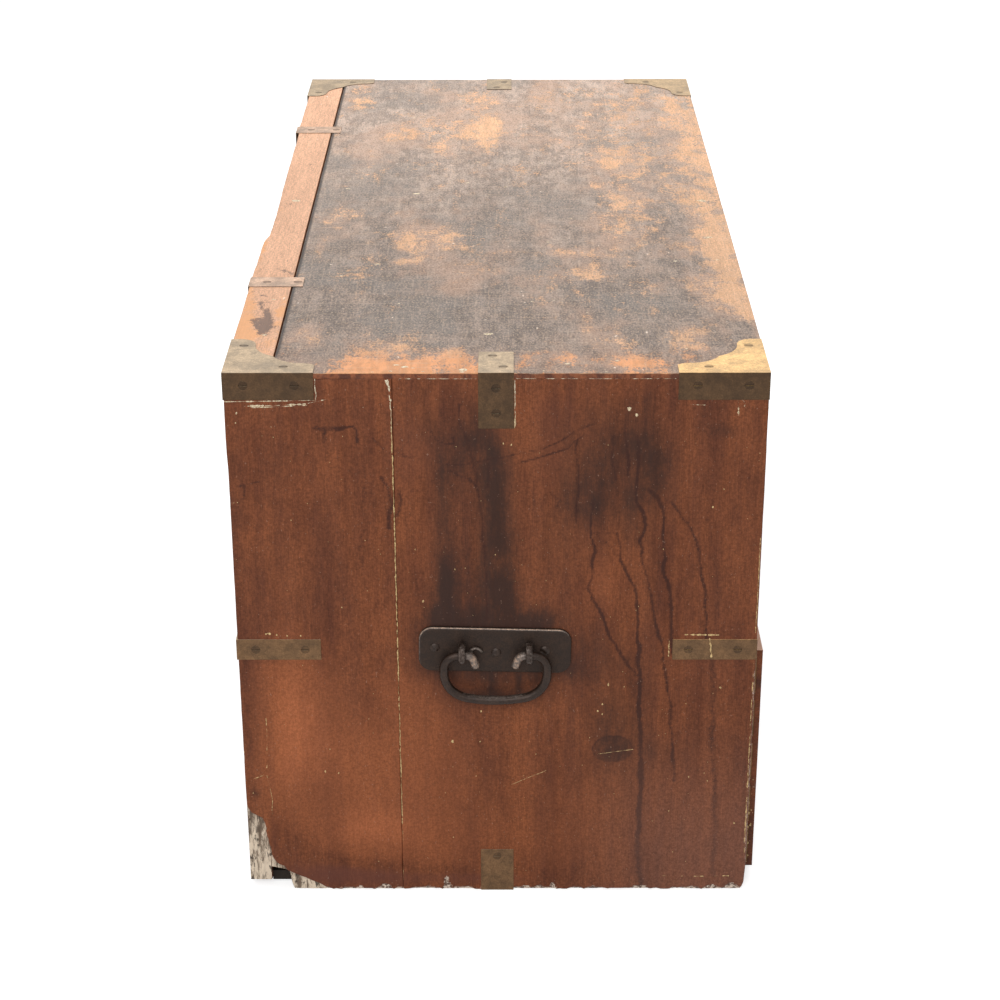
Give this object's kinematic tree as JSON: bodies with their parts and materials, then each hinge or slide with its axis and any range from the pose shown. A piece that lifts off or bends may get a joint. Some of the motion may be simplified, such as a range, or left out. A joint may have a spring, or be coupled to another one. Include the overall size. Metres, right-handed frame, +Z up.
{
  "type": "campaign trunk",
  "caption": "Brass-bound wooden campaign chest with a fixed top, long drawers along its front, flush pulls, and an iron lifting handle on each end.",
  "frame": {"origin": "middle of the footprint on the floor", "axes": "+X along the length towards the far end, -Y the drawer side, +Z up"},
  "size_m": [1.0256, 0.4665, 0.5125],
  "materials": {
    "case_wood": "old worn varnish, stained",
    "front_wood": "old worn varnish",
    "top_wood": "charred dark coating, scraped",
    "strip_wood": "worn bare wood",
    "back_wood": "dull, unpolished",
    "inner_wood": "bare",
    "brass": "dull and tarnished",
    "screw_brass": "dark tarnished",
    "lock_brass": "dull",
    "iron": "black forged iron, worn bright at edges"
  },
  "bodies": {
    "case": {"near_end_front_board": "case_wood", "near_end_rear_board": "case_wood", "far_end_front_board": "case_wood", "far_end_rear_board": "case_wood", "top_main_board": "top_wood", "top_rear_board": "strip_wood", "back_upper_board": "back_wood", "back_lower_board": "back_wood", "divider_rail": "case_wood", "bottom_rail": "case_wood", "bottom_board": "inner_wood", "drawer_runners": "inner_wood", "dust_board": "inner_wood", "drawer_stops": "inner_wood", "near_front_corner_bracket": "brass", "near_back_corner_bracket": "brass", "far_front_corner_bracket": "brass", "far_back_corner_bracket": "brass", "near_front_corner_strap": "brass", "near_back_corner_strap": "brass", "far_front_corner_strap": "brass", "far_back_corner_strap": "brass", "near_top_edge_strap": "brass", "far_top_edge_strap": "brass", "near_bottom_edge_strap": "brass", "far_bottom_edge_strap": "brass", "near_rear_top_strap": "brass", "far_rear_top_strap": "brass", "brass_screws": "screw_brass", "near_handle_plate": "iron", "far_handle_plate": "iron", "near_handle_eyes": "iron", "far_handle_eyes": "iron", "handle_nails": "iron"},
    "near_carry_bail": {"near_carry_bail": "iron"},
    "far_carry_bail": {"far_carry_bail": "iron"},
    "upper_drawer": {"upper_drawer_front": "front_wood", "upper_drawer_near_side": "inner_wood", "upper_drawer_far_side": "inner_wood", "upper_drawer_back": "inner_wood", "upper_drawer_bottom": "inner_wood", "upper_drawer_pull_plates": "brass", "upper_drawer_escutcheon": "brass", "upper_drawer_lock": "lock_brass"},
    "upper_near_pull_ring": {"upper_near_pull_ring": "brass"},
    "upper_far_pull_ring": {"upper_far_pull_ring": "brass"},
    "lower_drawer": {"lower_drawer_front": "front_wood", "lower_drawer_near_side": "inner_wood", "lower_drawer_far_side": "inner_wood", "lower_drawer_back": "inner_wood", "lower_drawer_bottom": "inner_wood", "lower_drawer_pull_plates": "brass", "lower_drawer_escutcheon": "brass", "lower_drawer_lock": "lock_brass"},
    "lower_near_pull_ring": {"lower_near_pull_ring": "brass"},
    "lower_far_pull_ring": {"lower_far_pull_ring": "brass"}
  },
  "joints": [
    {"name": "near_carry_bail_swing", "type": "hinge", "parent": "case", "child": "near_carry_bail", "pos_m": [-0.5049, 0.001, 0.251], "axis": [0, 1, 0], "range_deg": [-7, 175]},
    {"name": "far_carry_bail_swing", "type": "hinge", "parent": "case", "child": "far_carry_bail", "pos_m": [0.5049, 0.001, 0.251], "axis": [0, -1, 0], "range_deg": [-7, 175]},
    {"name": "upper_drawer_slide", "type": "slide", "parent": "case", "child": "upper_drawer", "axis": [0, -1, 0], "range_m": [-0.0025, 0.32]},
    {"name": "upper_near_pull_ring_swing", "type": "hinge", "parent": "upper_drawer", "child": "upper_near_pull_ring", "pos_m": [-0.245, -0.2276, 0.3828], "axis": [-1, 0, 0], "range_deg": [0, 90]},
    {"name": "upper_far_pull_ring_swing", "type": "hinge", "parent": "upper_drawer", "child": "upper_far_pull_ring", "pos_m": [0.245, -0.2276, 0.3828], "axis": [-1, 0, 0], "range_deg": [0, 90]},
    {"name": "lower_drawer_slide", "type": "slide", "parent": "case", "child": "lower_drawer", "axis": [0, -1, 0], "range_m": [-0.0085, 0.32]},
    {"name": "lower_near_pull_ring_swing", "type": "hinge", "parent": "lower_drawer", "child": "lower_near_pull_ring", "pos_m": [-0.245, -0.2336, 0.1338], "axis": [-1, 0, 0], "range_deg": [0, 90]},
    {"name": "lower_far_pull_ring_swing", "type": "hinge", "parent": "lower_drawer", "child": "lower_far_pull_ring", "pos_m": [0.245, -0.2336, 0.1338], "axis": [-1, 0, 0], "range_deg": [0, 90]}
  ]
}
